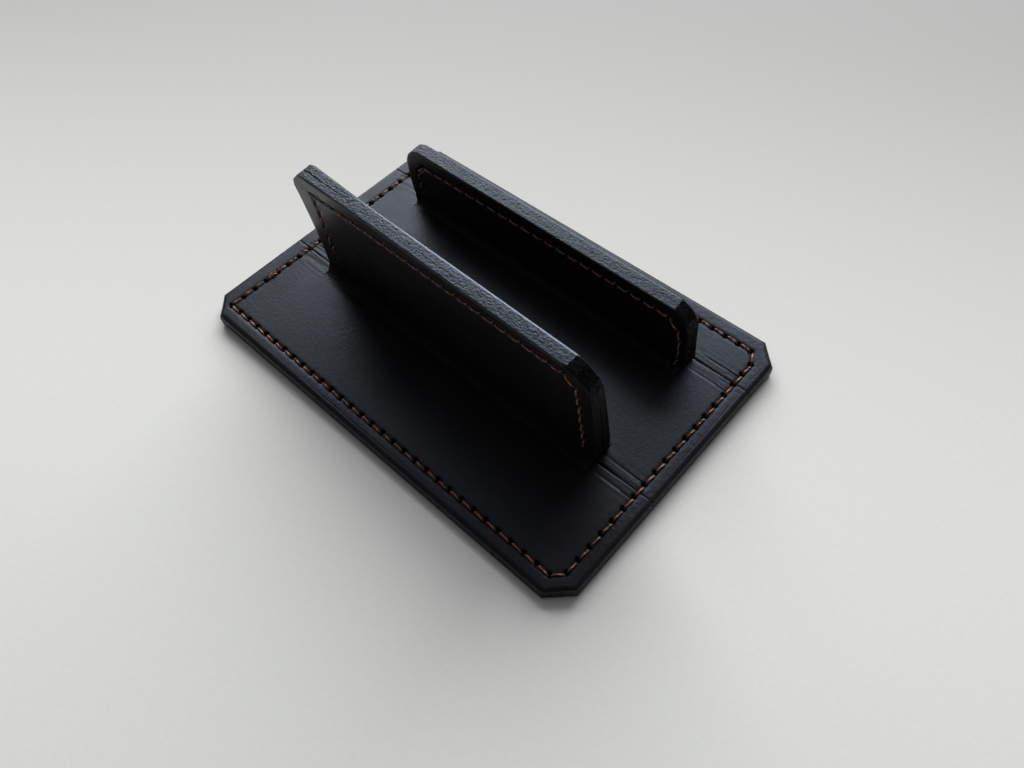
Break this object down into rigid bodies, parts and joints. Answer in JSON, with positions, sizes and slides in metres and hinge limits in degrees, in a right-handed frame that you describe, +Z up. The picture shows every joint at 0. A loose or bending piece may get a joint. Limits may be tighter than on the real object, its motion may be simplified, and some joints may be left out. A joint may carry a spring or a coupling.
{
  "type": "business card holder stand",
  "caption": "Black leather desk stand for business cards: a sewn flat base with a tall backrest and a low front lip, stitched in brown thread.",
  "frame": {"origin": "centre of the base's underside", "axes": "+X along the walls, +Y from the tall backrest to the low lip, +Z up"},
  "size_m": [0.11, 0.075, 0.0364],
  "materials": {
    "black_leather": "smooth vegetable-tanned leather, satin, with burnished edges",
    "brown_thread": "waxed twisted thread"
  },
  "bodies": {
    "root": {"sole": "black_leather", "back_panel": "black_leather", "channel_panel": "black_leather", "front_panel": "black_leather", "base_thread": "brown_thread", "backrest_thread": "brown_thread", "lip_thread": "brown_thread"}
  },
  "joints": []
}
